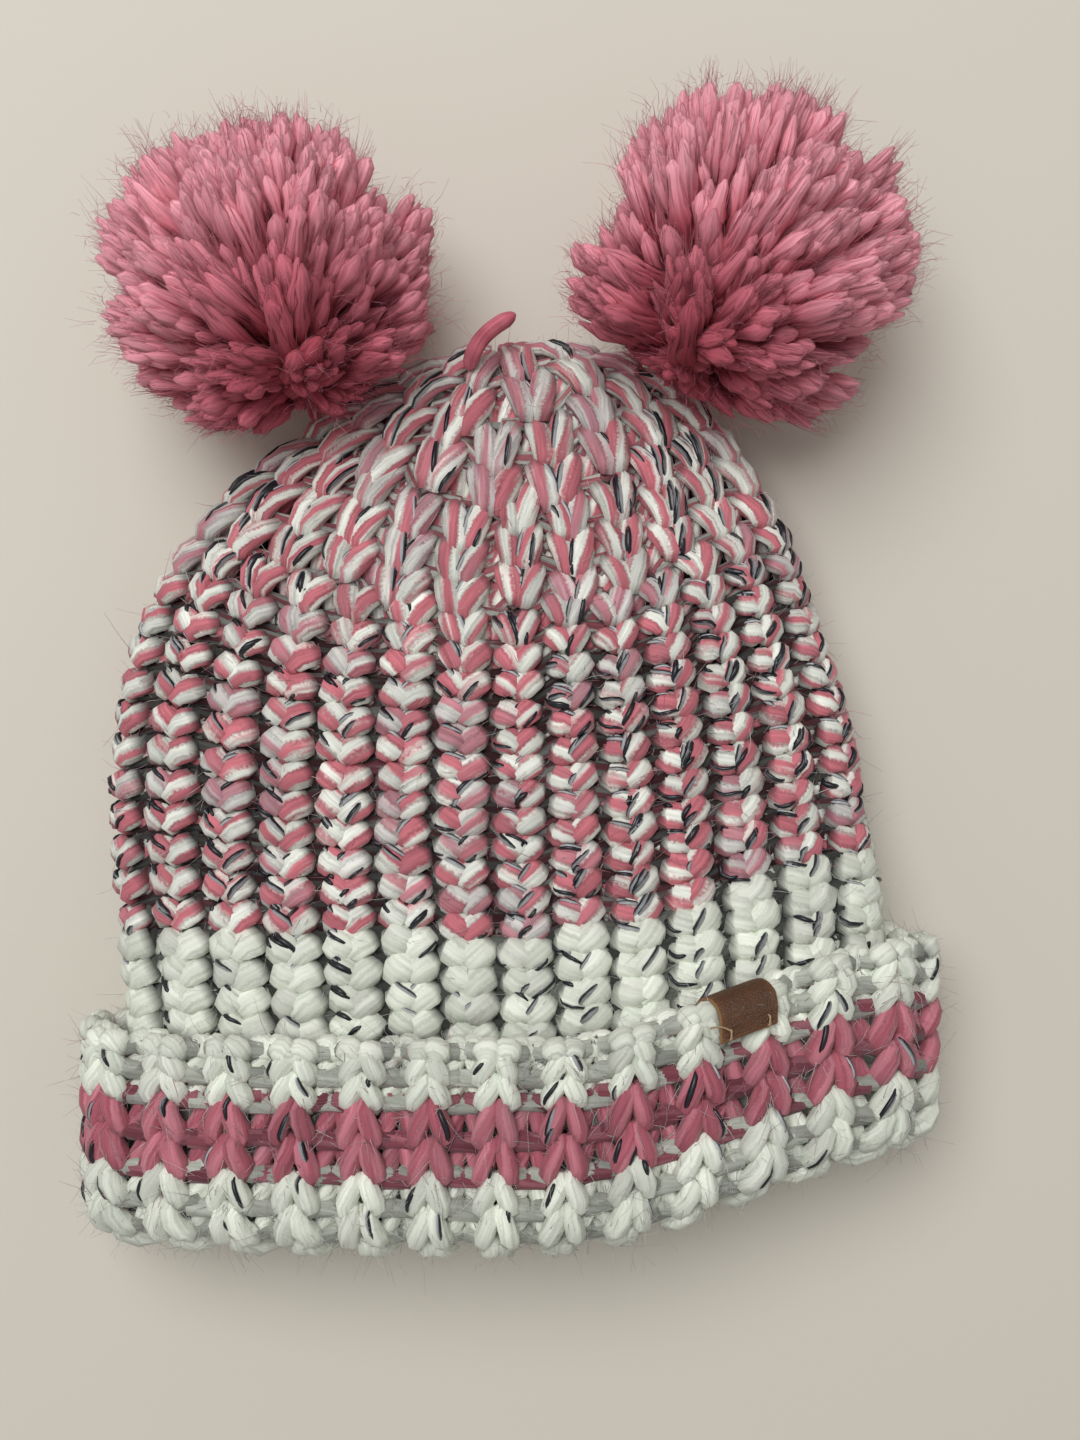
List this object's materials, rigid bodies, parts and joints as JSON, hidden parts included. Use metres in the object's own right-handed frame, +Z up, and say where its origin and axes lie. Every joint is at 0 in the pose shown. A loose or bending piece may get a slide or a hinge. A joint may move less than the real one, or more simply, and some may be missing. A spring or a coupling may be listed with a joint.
{
  "type": "pom pom beanie",
  "caption": "Child's bulky rib-knit beanie lying flat, with a turned-up striped cuff, a plain leather tab and yarn pom poms tied at the crown's corners.",
  "frame": {"origin": "middle of the bounding box, on the table that the hat lies on", "axes": "+Y from the cuff toward the crown and the pom poms, +Z up from the table through the hat's front, +X to the right seen from above"},
  "size_m": [0.2187, 0.2827, 0.0791],
  "materials": {
    "marl_yarn": "plied pink and white yarn with a thin black filament",
    "white_yarn": "off-white plied yarn with a thin black filament",
    "rose_yarn": "rose pink plied yarn with a thin black filament",
    "pompom_yarn": "soft rose pink cut yarn",
    "leather": "dark brown, waxed, with paler cut edges",
    "thread": "tan sewing thread"
  },
  "bodies": {
    "hat": {"marl_body": "marl_yarn", "white_band": "white_yarn", "pink_stripe": "rose_yarn", "cast_on_edge": "white_yarn", "crown_gather_yarn": "marl_yarn", "yarn_tail": "pompom_yarn", "leather_tag": "leather", "tag_stitch_left": "thread", "tag_stitch_right": "thread", "left_anchor_yarn": "pompom_yarn", "right_anchor_yarn": "pompom_yarn"},
    "left_tie": {"left_link_loop": "pompom_yarn"},
    "left_tufts": {"left_binding": "pompom_yarn", "left_pompom": "pompom_yarn"},
    "right_tie": {"right_link_loop": "pompom_yarn"},
    "right_tufts": {"right_binding": "pompom_yarn", "right_pompom": "pompom_yarn"}
  },
  "joints": [
    {"name": "left_lift", "type": "hinge", "parent": "hat", "child": "left_tie", "pos_m": [-0.0525, 0.0739, 0.019], "axis": [0.9681, 0.2507, 0], "range_deg": [0, 30]},
    {"name": "left_twist", "type": "hinge", "parent": "left_tie", "child": "left_tufts", "pos_m": [-0.0525, 0.0739, 0.019], "axis": [-0.193, 0.7452, 0.6383], "range_deg": [-60, 60], "stiffness_Nm_per_rad": 0.004},
    {"name": "right_lift", "type": "hinge", "parent": "hat", "child": "right_tie", "pos_m": [0.0455, 0.0845, 0.019], "axis": [0.7871, -0.6169, 0], "range_deg": [0, 30]},
    {"name": "right_twist", "type": "hinge", "parent": "right_tie", "child": "right_tufts", "pos_m": [0.0455, 0.0845, 0.019], "axis": [0.4552, 0.5808, 0.6749], "range_deg": [-60, 60], "stiffness_Nm_per_rad": 0.004}
  ]
}
